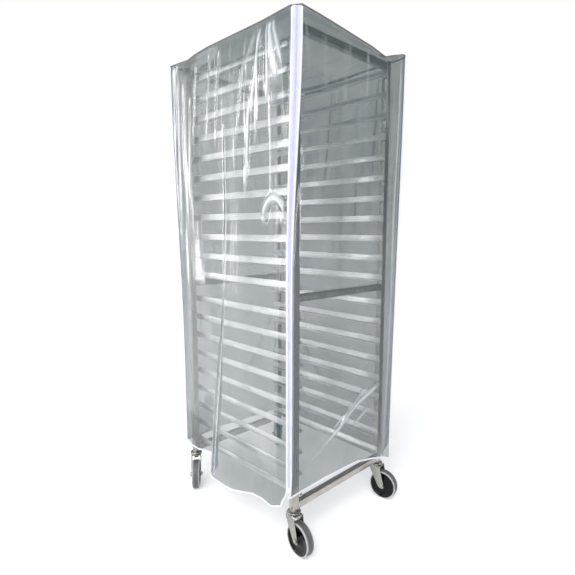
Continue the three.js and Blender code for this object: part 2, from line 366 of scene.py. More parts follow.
def bumped(n, shader, height, strength, distance):
    bump = n.add("ShaderNodeBump", {"Height": height, "Strength": strength, "Distance": distance})
    n.feed(shader.inputs["Normal"], bump.outputs["Normal"])


def grained(name, group, values, strength, distance, **plain):
    """A material that takes its colour, roughness and bump from one of the grain groups."""
    material, n, shader, place = new_material(name, **plain)
    grain = n.add("ShaderNodeGroup", node_tree=group)
    for key, value in {"Coordinates": place, **values}.items():
        n.feed(grain.inputs[key], value)
    n.feed(shader.inputs["Base Color"], grain.outputs["Color"])
    n.feed(shader.inputs["Roughness"], grain.outputs["Roughness"])
    bumped(n, shader, grain.outputs["Height"], strength, distance)
    return material, n, grain


def metal(name, stretch, light, dark, roughness, spread, bump=0.15):
    values = {
        "Stretch": stretch, "Light": light, "Dark": dark, "Roughness": roughness, "Spread": spread,
    }
    return grained(name, METAL_GRAIN, values, bump, 0.6 * MM, Metallic=1.0)[0]


def moulded(name, clean, scuffed, roughness, scuffing, bump=0.2, shoulder=None, gloss=0.5):
    values = {"Clean": clean, "Scuffed": scuffed, "Roughness": roughness, "Scuffing": scuffing}
    material, n, grain = grained(
        name, MOULDED_GRAIN, values, bump, 0.4 * MM, Specular_IOR_Level=gloss,
    )
    if shoulder:
        # Painted highlight: the shoulder band takes a lighter colour.
        shoulder_band = n.add("ShaderNodeAttribute", attribute_name="shoulder").outputs["Fac"]
        n.feed(grain.inputs["Clean"], n.mix(shoulder_band, clean, shoulder))
    return material


def clear_film():
    """Clear vinyl: a cool tint, dark enough to act as painted shade for what is seen through it,
    cloudy handling haze, and painted white highlights on its creases and hanging streaks.
    """
    material, n, shader, place = new_material(
        "clear_vinyl_film", IOR=1.7, Coat_Weight=0.25, Coat_Roughness=0.04,
    )
    painted = n.add("ShaderNodeAttribute", attribute_name="crease").outputs["Color"]
    crease = n.add("ShaderNodeSeparateColor", {"Color": painted}).outputs
    streak_highlight = n.band(n.noise(n.stretch(place, (60.0, 60.0, 1.3)), 1.0, 2.0, 0.5), 0.6, 0.8)
    streak_highlight = n.times(streak_highlight, crease["Green"])
    haze = n.noise(place, 5.0, 5.0, 0.6)
    ripple = n.noise(n.stretch(place, (34.0, 34.0, 2.4)), 1.0, 2.0, 0.5)
    # Painted highlights: the crease and streak masks turn the film white and more opaque, standing
    # in for glints off its folds.
    white_highlight = n.plus(n.times(crease["Red"], 0.72), n.times(streak_highlight, 0.5), True)
    facing = n.add("ShaderNodeLayerWeight", {"Blend": 0.35}).outputs["Facing"]
    alpha = n.plus(n.band(haze, 0.3, 0.7, 0.285, 0.345), n.times(white_highlight, 0.62))
    alpha = n.plus(alpha, n.times(n.maths("POWER", facing, 3.0), 0.35), True)
    # The dark tint is partly the vinyl's own cool colour and partly painted shade for the dim
    # surroundings seen through the film.
    tint, highlight_colour = (0.045, 0.082, 0.092, 1), (0.95, 0.97, 1.0, 1)
    n.feed(shader.inputs["Base Color"], n.mix(white_highlight, tint, highlight_colour))
    n.feed(shader.inputs["Roughness"], n.band(haze, 0.3, 0.7, 0.08, 0.2))
    n.feed(shader.inputs["Alpha"], alpha)
    bumped(n, shader, n.plus(ripple, n.times(streak_highlight, 0.4)), 0.28, 4 * MM)
    return material


def woven(name, light, dark, pitch, stitch_row):
    """Woven tape, read along its own flat map: U runs along it and V across it, in metres."""
    material, n, shader, place = new_material(name, Roughness=0.75, Sheen_Weight=0.2)
    flat = n.add("ShaderNodeUVMap", uv_map="flat").outputs["UV"]
    split = n.add("ShaderNodeSeparateXYZ", {"Vector": flat}).outputs
    warp = n.maths("SINE", n.times(split["Y"], pitch))
    weft = n.maths("SINE", n.times(split["X"], pitch))
    weave = n.plus(n.times(n.times(warp, weft), 0.5), 0.5)
    soil = n.band(n.noise(place, 24.0, 5.0, 0.6), 0.45, 0.75, 0.0, 0.4)
    height = weave
    shade = n.plus(n.times(weave, 0.25), soil, True)
    if stitch_row:
        wave = n.maths("SINE", n.times(split["X"], 2 * math.pi / STITCH_LENGTH))
        dash = n.maths("GREATER_THAN", wave, -0.3)
        off_row = n.maths("ABSOLUTE", n.minus(split["Y"], stitch_row))
        stitch = n.times(dash, n.maths("LESS_THAN", off_row, THREAD))
        shade = n.plus(shade, n.times(stitch, 0.5), True)
        height = n.minus(weave, n.times(stitch, 2.0))
    n.feed(shader.inputs["Base Color"], n.mix(shade, light, dark))
    bumped(n, shader, height, 0.3, 0.3 * MM)
    return material


def rgb(red, green, blue):
    return (red, green, blue, 1)


def grey(value):
    return (value, value, value, 1)


# Lit and shaded copies of one aluminium: the runners get a lighter tone as painted light, the posts
# and bars a darker one as painted shade and reflection.
SHADED_ALUMINIUM = (rgb(0.47, 0.45, 0.425), rgb(0.27, 0.25, 0.235))
LIT_ALUMINIUM = (rgb(0.86, 0.87, 0.88), rgb(0.66, 0.66, 0.67))
WELD = (rgb(0.72, 0.72, 0.71), rgb(0.40, 0.39, 0.38))
ZINC = (rgb(0.42, 0.42, 0.39), rgb(0.22, 0.22, 0.20))
STEEL = (rgb(0.45, 0.44, 0.42), rgb(0.16, 0.15, 0.14))
FINE, LONG = 420.0, 6.0
upright_metal = metal("satin_aluminium_posts", (FINE, FINE, LONG), *SHADED_ALUMINIUM, 0.30, 0.22)
runner_metal = metal("satin_aluminium_runners", (FINE, LONG, FINE), *LIT_ALUMINIUM, 0.32, 0.2)
bar_metal = metal("satin_aluminium_bars", (LONG, FINE, FINE), *SHADED_ALUMINIUM, 0.30, 0.22)
weld_metal = metal("weld_beads", (300.0, 300.0, 300.0), *WELD, 0.34, 0.3, 0.5)
zinc_metal = metal("zinc_plate", (160.0, 160.0, 160.0), *ZINC, 0.2, 0.3)
race_metal = metal("greased_steel", (200.0, 200.0, 200.0), *STEEL, 0.3, 0.3)
black_plastic = moulded(
    "black_wheel_plastic", rgb(0.003, 0.003, 0.0035), grey(0.02), 0.12, 0.2, 0.05, gloss=0.2,
)
tread_rubber = moulded(
    "grey_tread", rgb(0.085, 0.085, 0.087), rgb(0.17, 0.17, 0.165), 0.5, 0.7, 0.35, grey(0.46),
)
socket_plastic = moulded("socket_plastic", grey(0.05), grey(0.2), 0.5, 0.4)
film = clear_film()
white_tape = woven(
    "white_binding_tape", rgb(0.80, 0.81, 0.85), rgb(0.58, 0.59, 0.64), 5200.0, 1.5 * MM,
)
seam_cord = woven("top_seam_cord", rgb(0.17, 0.16, 0.15), rgb(0.08, 0.075, 0.07), 4200.0, None)
zip_cloth = woven(
    "zip_tape_cloth", rgb(0.60, 0.61, 0.80), rgb(0.42, 0.43, 0.62), 5200.0, 4 * MM,
)
zip_plastic = moulded(
    "zip_teeth_plastic", rgb(0.66, 0.67, 0.84), rgb(0.48, 0.48, 0.62), 0.3, 0.3, 0.1,
)
slider_paint = moulded(
    "slider_paint", rgb(0.88, 0.89, 0.92), rgb(0.50, 0.50, 0.52), 0.3, 0.5, 0.1,
)
# ---- Welded rack ----

POST = 25.4 * MM
WALL = 2 * MM
LEG = 25.4 * MM
SHEET = 2.4 * MM
TUBE_CORNER = 2.4 * MM
RUNNER_BEND = 3 * MM
LEDGE_CROP = 11 * MM
left_low, left_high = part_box("left_side_frame")
HALF_WIDTH = -left_low[0]
HALF_DEPTH = left_high[1]
POST_FOOT = left_low[2]
POST_TOP = left_high[2]
POST_X = HALF_WIDTH - POST / 2
POST_Y = HALF_DEPTH - POST / 2
INNER_X = HALF_WIDTH - POST
PITCH = 79.4 * MM
LOWEST_TIER = POST_FOOT + 49.1 * MM
MIDDLE_STEP = 104.1 * MM
tiers = [LOWEST_TIER + i * PITCH for i in range(9)]
tiers += [tiers[-1] + MIDDLE_STEP + i * PITCH for i in range(11)]


def square_tube(name, low, high, axis):
    """An open-ended square tube with rounded edges, its length along the given axis."""
    tube = box_start(name, low, high)
    grab(tube, "faces", lambda face: abs(face.normal[axis]) > 0.9)
    bpy.ops.mesh.delete(type="FACE")
    grab(tube, "edges", lambda e: abs((e.verts[0].co - e.verts[1].co)[axis]) > POST)
    bpy.ops.mesh.bevel(offset=TUBE_CORNER, segments=4, affect="EDGES")
    done()
    plated(tube, WALL)
    soften(tube, 0.4 * MM, 1, 60)
    return tube


def angle_runner(name):
    """A left runner with its ledge's lower face at height 0 and cropped ledge corners."""
    deselect()
    bpy.ops.mesh.primitive_plane_add(
        size=1, location=(-INNER_X, 0, LEG / 2), rotation=(0, math.pi / 2, 0),
    )
    rail = named_primitive(name, (LEG, 2 * HALF_DEPTH, 1))
    grab(rail, "edges", lambda e: all(v.co.z < NEAR for v in e.verts))
    draw_out(LEG, 0, 0)
    grab(rail, "edges", lambda e: all(
        v.co.z < NEAR and v.co.x < NEAR - INNER_X for v in e.verts
    ))
    bpy.ops.mesh.bevel(offset=RUNNER_BEND, segments=3, affect="EDGES")
    grab(rail, "verts", lambda v: v.co.x > -INNER_X + LEG - NEAR)
    bpy.ops.mesh.bevel(offset=LEDGE_CROP, segments=1, affect="VERTICES")
    bpy.ops.mesh.select_all(action="SELECT")
    faces = bmesh.from_edit_mesh(rail.data).faces
    upright = max(faces, key=lambda face: face.calc_center_median().z)
    if upright.normal.x > 0:
        bpy.ops.mesh.flip_normals()
    done()
    plated(rail, SHEET)
    soften(rail, 0.5 * MM, 2, 50)
    return rail


def weld_bead(name):
    """One short bead along Y, a little lumpy."""
    deselect()
    bpy.ops.mesh.primitive_ico_sphere_add(subdivisions=2, radius=1)
    bead = named_primitive(name, (2.1 * MM, 8.5 * MM, 2.1 * MM))
    lump, spacing = 0.22, 1900
    for vertex in bead.data.vertices:
        vertex.co.x *= 1 + lump * math.sin(vertex.co.y * spacing)
        vertex.co.z *= 1 + lump * math.sin(vertex.co.y * spacing + 1)
    make_active(bead)
    bpy.ops.object.shade_smooth()
    return bead


def mirrored(side):
    return Matrix.Diagonal((-side, 1, 1, 1))


def moved(x, y, z):
    return Matrix.Translation((x, y, z))


def build_rack():
    post = square_tube(
        "post_pattern", (-POST / 2, -POST / 2, POST_FOOT), (POST / 2, POST / 2, POST_TOP), 2,
    )
    rail = angle_runner("runner_pattern")
    bead = weld_bead("bead_pattern")
    weld_x = INNER_X - 0.6 * MM
    weld_gap = 0.4 * MM

    def weld(name, spots):
        clothe(gathered(name, bead, spots), weld_metal, "aluminium", "rack")

    for side, word in ((-1, "left"), (1, "right")):
        places = [moved(side * POST_X, end * POST_Y, 0) for end in (-1, 1)]
        posts = gathered(f"{word}_posts", post, places)
        clothe(posts, upright_metal, "aluminium", "rack", f"{word}_side_frame")
        places = [mirrored(side) @ moved(0, 0, z) for z in tiers]
        clothe(gathered(f"{word}_runners", rail, places), runner_metal, "aluminium", "rack")
        weld(f"{word}_runner_welds", [
            moved(side * weld_x, end * POST_Y, z + rise)
            for z in tiers for end in (-1, 1) for rise in (-weld_gap, LEG + weld_gap)
        ])
    low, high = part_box("top_front_bar")
    reach = INNER_X - 0.3 * MM
    bar = square_tube(
        "bar_pattern", (-reach, -POST / 2, 0), (reach, POST / 2, high[2] - low[2]), 0,
    )
    turn_up = Matrix.Rotation(math.pi / 2, 4, "X")
    side_weld = 0.98 * POST / 2
    for level in ("top", "middle", "bottom"):
        for place, end in (("front", -1), ("back", 1)):
            node = f"{level}_{place}_bar"
            low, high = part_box(node)
            y = end * POST_Y
            tube = gathered(f"{node}_tube", bar, [moved(0, y, low[2])])
            clothe(tube, bar_metal, "aluminium", "rack", node)
            half_up = (low[2] + high[2]) / 2
            spots = []
            for x in (-weld_x, weld_x):
                spots += [moved(x, y, z) for z in (low[2], high[2])]
                spots += [moved(x, y + off, half_up) @ turn_up for off in (-side_weld, side_weld)]
            weld(f"{node}_welds", spots)
    discard(post, rail, bead, bar)


# ---- Casters, modelled about their own stem with the foot of the post at height 0 ----

WHEEL_DROP = POST_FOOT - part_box("tyre_front_left")[1][2] / 2
LEAD = 36 * MM
LEG_OUT = 21.2 * MM
YOKE_TOP = -7.3 * MM
YOKE_PLATE = 2.5 * MM
YOKE_BEND = 4.5 * MM
SHOULDER = 13 * MM
FOOT_ROUNDING = 11 * MM


def in_mm(pairs):
    return [(radius * MM, height * MM) for radius, height in pairs]


def both_faces(half):
    """A closed run of rings, the same above and below the middle."""
    rings = in_mm(half) + in_mm([(radius, -height) for radius, height in reversed(half)])
    return rings + rings[:1]


def race():
    """The stem's upper race, a pressed dish, with the king pin's head under it."""
    return turned("race_pattern", in_mm([
        (9, -27), (9, -23), (5.5, -23), (5.5, -7), (20, -6.2), (24.4, -5.4), (25.4, -4),
        (25.2, -1.6), (23.6, -0.5), (12, -0.4), (11, 0.2), (9.4, 0.2), (9.4, 50), (7.5, 53),
    ]), 64)


def yoke():
    """A bent plate: a flat top and two legs that narrow to the axle."""
    deselect()
    top_x, top_z = 2.5 * MM, YOKE_TOP - 1.2 * MM
    bpy.ops.mesh.primitive_plane_add(size=1, location=(top_x, 0, top_z))
    plate = named_primitive("yoke_pattern", (50 * MM, 2 * LEG_OUT, 1))
    for side in (-1, 1):
        grab(plate, "edges", lambda e: all(v.co.y * side > LEG_OUT - NEAR for v in e.verts))
        draw_out(0, 0, -SHOULDER)
        draw_out(LEAD - top_x, 0, -(WHEEL_DROP + top_z))
        bpy.ops.transform.resize(value=(0.5, 1, 1), center_override=(LEAD, 0, 0))
        bpy.ops.mesh.select_mode(type="VERT")
        bpy.ops.mesh.bevel(offset=FOOT_ROUNDING, segments=7, affect="VERTICES")
    grab(plate, "edges", lambda e: all(
        abs(abs(v.co.y) - LEG_OUT) < NEAR / 10 and v.co.z > YOKE_TOP - 2 * MM for v in e.verts
    ))
    bpy.ops.mesh.bevel(offset=YOKE_BEND, segments=4, affect="EDGES")
    face_outward(plate)
    top = max(plate.data.polygons, key=lambda face: face.center.z)
    if top.normal.z < 0:
        plate.data.flip_normals()
    plated(plate, YOKE_PLATE)
    soften(plate, 0.5 * MM, 2, 50)
    return plate


def lower_race():
    return turned("lower_race_pattern", in_mm([
        (6.4, -10), (24.6, -10), (25, -9), (24.6, -7.6), (20, -7), (6.4, -7), (6.4, -10),
    ]), 64, True)


def ball_ring():
    return turned("ball_ring_pattern", in_mm([
        (7, -6.9), (21.6, -6.9), (22.8, -6), (21.6, -5.2), (7, -5.2), (7, -6.9),
    ]), 48, True)


def axle_parts():
    """The axle bolt about Z: a hex head with a washer at one end and a lock nut at the other."""
    seat = LEG_OUT / MM + 0.3
    shaft = turned("shaft_pattern", in_mm([(4.6, -seat - 8), (4.6, seat + 1), (4, seat + 1.4)]), 24)
    washers = turned("washer_pattern", in_mm([
        (4.9, seat), (9.4, seat), (9.4, seat + 1.3), (4.9, seat + 1.3), (4.9, seat),
    ]), 32, True)
    head = turned("hex_pattern", in_mm([
        (7.6, seat + 1.3), (7.6, seat + 5), (6.4, seat + 6), (2, seat + 6.1),
    ]), 6)
    for piece in (shaft, washers, head):
        soften(piece, 0.3 * MM, 1, 25)
    both_ends = [Matrix(), Matrix.Rotation(math.pi, 4, "X")]
    axle = joined([
        gathered("shaft", shaft, [Matrix()]),
        gathered("washers", washers, both_ends),
        gathered("hexes", head, both_ends),
    ])
    axle.name = "axle_pattern"
    discard(shaft, washers, head)
    return axle


def wheel_disc():
    """The black wheel: a hub boss, a dished web and a raised rim, the same on both faces."""
    return turned("wheel_pattern", both_faces([
        (5.6, 17.4), (11.5, 17.4), (13.6, 16.8), (15, 15.2), (16.4, 11.8), (18.5, 10.4), (30, 10),
        (43, 10.8), (46.2, 11.8), (48, 13.6), (49.4, 14.8), (51.2, 15.2), (53, 15), (53.6, 14.4),
    ]), 96, True)


def tread():
    """The grey tyre: flat tread, full round shoulders, and a lip over the rim."""
    tyre = turned("tread_pattern", both_faces([
        (53.8, 14.6), (54.4, 15.6), (55.4, 16.1), (56.8, 15.9), (58.2, 14.7), (59.2, 12.4),
        (59.8, 8.6), (60, 3.5),
    ]), 112, True)
    # A painted lighter band on the shoulders, standing in for their highlight.
    layer = tyre.data.color_attributes.new("shoulder", "FLOAT_COLOR", "POINT")
    for vertex, value in zip(tyre.data.vertices, layer.data):
        value.color = grey(float(ease(abs(vertex.co.z), 10 * MM, 14.5 * MM)))
    return tyre


def build_casters():
    lie_down = moved(LEAD, 0, -WHEEL_DROP) @ Matrix.Rotation(math.pi / 2, 4, "X")
    upper = race()
    soften(upper, 0.4 * MM, 1, 40)
    legs = yoke()
    lower = lower_race()
    ring = ball_ring()
    axle = axle_parts()
    disc = wheel_disc()
    tyre = tread()
    for round_piece in (lower, ring, disc, tyre):
        make_active(round_piece)
        bpy.ops.object.shade_smooth_by_angle(angle=math.radians(40))
    for corner, (side, end) in CORNERS.items():
        roll = HINGES[f"wheel_roll_{corner}"]["pos_m"]
        stem = Vector((side * POST_X, end * POST_Y, POST_FOOT))
        turn = math.atan2(roll[1] - stem.y, roll[0] - stem.x)
        at = Matrix.Translation(stem) @ Matrix.Rotation(turn, 4, "Z")
        low = at @ lie_down
        swivel, wheel = f"swivel_{corner}", f"wheel_{corner}"
        for name, pattern, place, material, slot, body, *nodes in (
            ("upper_race", upper, at, zinc_metal, "zinc_steel", "rack", "caster_stem"),
            ("bearing", ring, at, race_metal, "zinc_steel", swivel, "ball_ring"),
            ("lower_race", lower, at, zinc_metal, "zinc_steel", swivel),
            ("fork", legs, at, zinc_metal, "zinc_steel", swivel, "yoke"),
            ("axle", axle, low, zinc_metal, "zinc_steel", swivel, "axle_bolt"),
            ("disc", disc, low, black_plastic, "wheel_plastic", wheel, "wheel_core"),
            ("tread", tyre, low, tread_rubber, "tyre_rubber", wheel, "tyre"),
        ):
            piece = gathered(f"{name}_{corner}", pattern, [place])
            clothe(piece, material, slot, body, *[f"{node}_{corner}" for node in nodes])
        paint(bpy.data.objects[f"stem_bolt_{corner}"], zinc_metal)
        paint(bpy.data.objects[f"stem_socket_{corner}"], socket_plastic)
        paint(bpy.data.objects[f"post_cap_{corner}"], upright_metal)
    discard(upper, legs, lower, ring, axle, disc, tyre)


# ---- Clear cover ----

FILM = 0.5 * MM
SEAM = 1.806
HEM = 0.2
ZIP_FOOT = 0.245
ZIP_LENGTH = 1.55
TOOTH_PITCH = 3 * MM
COVER_HALF_WIDTH = 0.292
COVER_HALF_DEPTH = 0.369
PLEAT_TOP = 1.25
PLEAT_WIDTH = 0.020
PLEAT_EDGE = 0.0125
DENT_Y = -0.274
DENT_HEIGHT = 1.185
DENT_RADIUS = 0.060
chance = np.random.default_rng(20)


def plan(x, y):
    return np.stack([x, y], axis=-1)


def blend_plan(a, b, share):
    return a + (b - a) * share[..., None]


def zip_middle(side, t):
    """The middle of a front corner's zip at a drop t from the seam, 0, to the hem, 1."""
    if side < 0:
        lean = ease(t, 0.0, 0.55)
        return plan(-0.278 - 0.015 * lean, -0.356 + 0.017 * lean)
    return plan(0.294 - 0.019 * ease(t), -0.369 + 0.010 * t)


def zip_half(t):
    return 0.0155 - 0.0080 * ease(t, 0.05, 0.55)


def zip_across(side):
    """Along the zip's width, from its side panel to the front panel."""
    return np.array([-side, -1.0]) / math.sqrt(2)


def zip_edge(side, t, towards):
    edge = zip_middle(side, t) + zip_across(side) * (towards * zip_half(t))[..., None]
    spread = ease(t, 0.955, 1.0)
    if towards < 0:
        edge[..., 1] += 0.03 * spread
    else:
        edge[..., 0] += 0.004 * spread * side
    return edge


def back_corner(side, t):
    return plan(
        side * (COVER_HALF_WIDTH - 0.010 * ease(t)),
        COVER_HALF_DEPTH - 0.036 * ease(t, 0.0, 0.75),
    )


# Heights of the top seam against y on the left and right, and against x at the front and back.
SEAM_LINES = {
    "left": (
        [-0.36, -0.2, 0.1, 0.19, 0.235, 0.3, 0.37],
        [1.815, 1.808, 1.807, 1.801, 1.793, 1.797, 1.80],
    ),
    "right": ([-0.36, -0.25, 0.0, 0.2, 0.37], [1.811, 1.803, 1.798, 1.801, 1.803]),
    "front": (
        [-0.27, -0.19, -0.09, 0.0, 0.075, 0.12, 0.155, 0.199, 0.265, 0.29],
        [1.816, 1.811, 1.802, 1.793, 1.786, 1.778, 1.772, 1.788, 1.808, 1.811],
    ),
    "back": ([-0.29, -0.15, 0.05, 0.2, 0.29], [1.80, 1.797, 1.788, 1.795, 1.803]),
}
# Heights of the hem against s, from 0 to 1 along each panel.
HEM_LINES = {
    "left": (
        [0, 0.04, 0.12, 0.2, 0.3, 0.4, 0.6, 0.67, 0.74, 0.86, 0.94, 1],
        [0.180, 0.179, 0.187, 0.182, 0.161, 0.143, 0.138, 0.222, 0.213, 0.197, 0.198, 0.212],
    ),
    "right": ([0, 0.3, 0.6, 1], [0.176, 0.205, 0.196, 0.205]),
    "front": (
        [0, 0.15, 0.3, 0.5, 0.62, 0.8, 0.93, 1],
        [0.226, 0.234, 0.242, 0.238, 0.233, 0.212, 0.190, 0.172],
    ),
    "back": ([0, 0.35, 0.7, 1], [0.212, 0.222, 0.208, 0.205]),
}


def folds(along, z, lines):
    """Sharp-crested folds in the film: how far each stands out, and how strong a painted highlight
    its crest gets.
    """
    rise = np.zeros_like(along)
    highlight_strength = np.zeros_like(along)
    for (a, top), (b, foot), height, narrow, wide, gloss in lines:
        lean, drop = b - a, foot - top
        run = ((along - a) * lean + (z - top) * drop) / (lean ** 2 + drop ** 2)
        inside = np.clip(run, 0, 1)
        off = np.hypot(along - a - inside * lean, z - top - inside * drop)
        width = narrow + (wide - narrow) * inside
        fade = ease(inside, -0.05, 0.12) * (1 - ease(inside, 0.55, 1.0))
        rise += height * fade * np.exp(-(off / width) ** 1.5)
        highlight_strength = np.maximum(highlight_strength, gloss * fade * np.exp(-(off / (0.7 * width)) ** 2))
    return rise, highlight_strength


def stray_folds(count, low, high, strength=1.0):
    """Small vertical folds that hang from the seam, each with a faint painted highlight on its
    crest.
    """
    lines = []
    for _ in range(count):
        a = chance.uniform(low, high)
        top = chance.uniform(1.62, 1.79)
        length = chance.uniform(0.25, 0.95)
        lean = chance.uniform(-0.03, 0.03)
        lines.append((
            (a, top), (a + lean, top - length), chance.uniform(0.0008, 0.002) * strength,
            0.009, chance.uniform(0.012, 0.022), chance.uniform(0.10, 0.42) * strength,
        ))
    return lines


# Each fold: top (along, height), foot (along, height), how far it stands out, its width at top and
# foot, and the strength of the painted highlight on its crest.
left_lines = [
    ((-0.246, 1.81), (-0.286, 1.56), 0.0059, 0.009, 0.032, 1.0),
    ((-0.236, 1.81), (-0.240, 1.50), 0.0040, 0.007, 0.020, 1.0),
    ((-0.262, 1.80), (-0.318, 1.62), 0.0036, 0.007, 0.020, 0.9),
    ((-0.205, 1.80), (-0.128, 1.46), 0.0045, 0.008, 0.018, 1.0),
    ((-0.190, 1.79), (-0.170, 1.36), 0.0036, 0.006, 0.014, 0.9),
    ((-0.146, 1.62), (-0.114, 1.20), 0.0040, 0.008, 0.015, 0.9),
    ((-0.180, 1.80), (-0.070, 1.62), 0.0036, 0.008, 0.022, 0.45),
    ((-0.120, 1.79), (-0.055, 1.36), 0.0027, 0.005, 0.010, 0.6),
    ((0.030, 1.79), (0.070, 1.42), 0.0027, 0.005, 0.010, 0.55),
    ((0.098, 1.79), (0.126, 1.38), 0.0032, 0.005, 0.011, 0.6),
    ((0.186, 1.79), (0.214, 1.36), 0.0032, 0.005, 0.010, 0.65),
    ((0.005, 1.52), (0.000, 1.15), 0.0036, 0.006, 0.011, 0.6),
    ((0.305, 1.79), (0.325, 0.95), 0.007, 0.008, 0.013, 0.9),
    ((0.285, 1.20), (0.280, 0.40), 0.0015, 0.012, 0.018, 0.2),
] + stray_folds(15, -0.30, 0.34)
right_lines = [
    ((-0.24, 1.80), (-0.22, 1.30), 0.010, 0.006, 0.014, 0.7),
    ((0.02, 1.79), (0.06, 1.20), 0.009, 0.006, 0.014, 0.6),
    ((0.25, 1.79), (0.21, 0.90), 0.010, 0.006, 0.016, 0.7),
    ((0.20, 0.62), (-0.05, 0.33), 0.005, 0.006, 0.012, 0.5),
] + stray_folds(24, -0.32, 0.33)
back_lines = [
    ((-0.20, 1.79), (-0.17, 1.25), 0.009, 0.006, 0.014, 0.6),
    ((0.10, 1.78), (0.05, 1.10), 0.010, 0.006, 0.015, 0.7),
    ((0.22, 0.70), (0.02, 0.36), 0.005, 0.006, 0.012, 0.5),
] + stray_folds(18, -0.26, 0.26)
front_lines = [
    ((-0.252, 1.78), (-0.228, 1.60), 0.0016, 0.008, 0.016, 0.3),
    ((-0.163, 1.77), (-0.148, 1.52), 0.0013, 0.008, 0.016, 0.25),
    ((-0.063, 1.76), (-0.040, 1.50), 0.0016, 0.008, 0.016, 0.25),
    ((0.16, 1.76), (0.19, 1.45), 0.0020, 0.009, 0.018, 0.3),
    ((0.19, 0.53), (-0.235, 0.27), 0.009, 0.012, 0.016, 0.9),
    ((0.12, 0.52), (-0.13, 0.33), 0.006, 0.010, 0.012, 0.6),
    ((0.13, 0.43), (0.00, 0.34), 0.006, 0.010, 0.012, 0.6),
    ((-0.255, 1.39), (-0.245, 1.30), 0.003, 0.004, 0.005, 0.5),
    ((0.252, 1.80), (0.238, 0.75), 0.0015, 0.008, 0.008, 0.75),
    ((0.248, 1.25), (0.228, -0.10), 0.0012, 0.007, 0.008, 0.6),
    ((0.268, 1.80), (0.262, -0.60), 0.0010, 0.006, 0.006, 0.8),
] + stray_folds(9, -0.24, 0.24, 0.45)


def billow(along, z, seed):
    return (
        0.0045 * np.sin(along * 9 + z * 2.1 + seed)
        + 0.0030 * np.sin(along * 23 - z * 3.3 + 2 * seed)
        + 0.0022 * np.sin(z * 7.7 + along * 5 + 3 * seed)
    )


def near_seams(s, t, width):
    """0 on the sewn edges of a panel and 1 a little way in."""
    from_side = np.minimum(s, 1 - s) * width
    return ease(from_side, 0.002, 0.035) * ease(t, 0.0, 0.03)


def hung(word, s, t, first, last, width):
    """A panel before its folds: x, y, z, the drop from seam to hem, and how far in a point is."""
    base = blend_plan(first, last, s)
    x, y = base[..., 0], base[..., 1]
    seam = np.interp(y if word in ("left", "right") else x, *SEAM_LINES[word])
    hem = np.interp(s, *HEM_LINES[word])
    z = seam + (hem - seam) * t
    return x, y, z, SEAM + (HEM - SEAM) * t, near_seams(s, t, width)


def sewn(x, y, z, highlight_strength, inside, hanging):
    return np.stack([x, y, z], axis=-1), highlight_strength * ease(inside, 0, 0.6), hanging


def dent(y, height):
    """A dented patch with an arched crest, beside the left zip; the arch also carries a painted
    white highlight.
    """
    away = np.hypot((y - DENT_Y) / 0.85, height - DENT_HEIGHT)
    arch = np.exp(-((away - DENT_RADIUS) / 0.014) ** 2) * ease(height, 1.150, 1.225)
    return 0.013 * arch - 0.007 * np.exp(-(away / 0.045) ** 2), arch


def pleat(y, height, inside):
    """A long pleat that opens towards the hem, the front part lapped over the back part; its edges
    and lap carry a painted highlight.
    """
    opened = ease(height, PLEAT_TOP, 0.35)
    middle = 0.092 * np.clip((PLEAT_TOP - height) / 1.02, 0, 1) ** 1.6
    across = (y - middle) / PLEAT_WIDTH
    lap = np.where(height < 1.32, ease(height, 1.32, 1.1), 0.0)
    y = y - 0.049 * opened * across * np.exp(-across ** 2 / 2) * inside
    step = (1 - np.tanh(across * 1.3)) / 2
    rise = (0.020 * opened + 0.003 * lap) * step + 0.007 * lap * np.exp(-(across / 0.7) ** 2)
    off = np.abs(y - middle)
    # Painted highlight along the pleat's edges and over its lap.
    edge = np.exp(-((off - PLEAT_EDGE) / 0.0035) ** 2)
    crest = opened * (0.15 * (off < PLEAT_EDGE) + edge)
    return y, rise, np.maximum(crest, lap * (1 - opened) * np.exp(-(across / 0.4) ** 2))


def left_panel(s, t):
    """s runs from the zip, 0, to the back corner, 1."""
    edges = zip_edge(-1, t, -1), back_corner(-1, t)
    x, y, z, height, inside = hung("left", s, t, *edges, 0.7)
    rise, highlight_strength = folds(y, height, left_lines)
    dented, arch = dent(y, height)
    y, pleated, crest = pleat(y, height, inside)
    rise = rise + dented + pleated + billow(y, height, 0.7) * 0.8
    highlight_strength = np.maximum(highlight_strength, np.maximum(arch, crest))
    hanging = ease(height, 0.9, 1.5) * inside
    return sewn(x - rise * inside, y, z, highlight_strength, inside, 0.25 + 0.75 * hanging)


def front_panel(s, t):
    """s runs from the left zip, 0, to the right zip, 1."""
    edges = zip_edge(-1, t, 1), zip_edge(1, t, 1)
    x, y, z, height, inside = hung("front", s, t, *edges, 0.55)
    rise, highlight_strength = folds(x, height, front_lines)
    rise = rise + billow(x, height, 2.3) * 0.7
    bow = 0.006 * np.sin(np.pi * s) * (1 - t) * ease(t, 0, 0.1)
    hanging = ease(height, 1.1, 1.7) * inside
    return sewn(x, y + bow - rise * inside, z, highlight_strength, inside, 0.12 + 0.5 * hanging)


def right_panel(s, t):
    edges = zip_edge(1, t, -1), back_corner(1, t)
    x, y, z, height, inside = hung("right", s, t, *edges, 0.7)
    rise, highlight_strength = folds(y, height, right_lines)
    rise = rise + billow(y, height, 4.1)
    hanging = ease(height, 0.9, 1.5) * inside
    return sewn(x + rise * inside, y, z, highlight_strength, inside, 0.2 + 0.6 * hanging)


def back_panel(s, t):
    edges = back_corner(-1, t), back_corner(1, t)
    x, y, z, height, inside = hung("back", s, t, *edges, 0.55)
    rise, highlight_strength = folds(x, height, back_lines)
    rise = rise + billow(x, height, 5.9)
    hanging = ease(height, 0.9, 1.5) * inside
    return sewn(x, y + rise * inside, z, highlight_strength, inside, 0.15 + 0.5 * hanging)


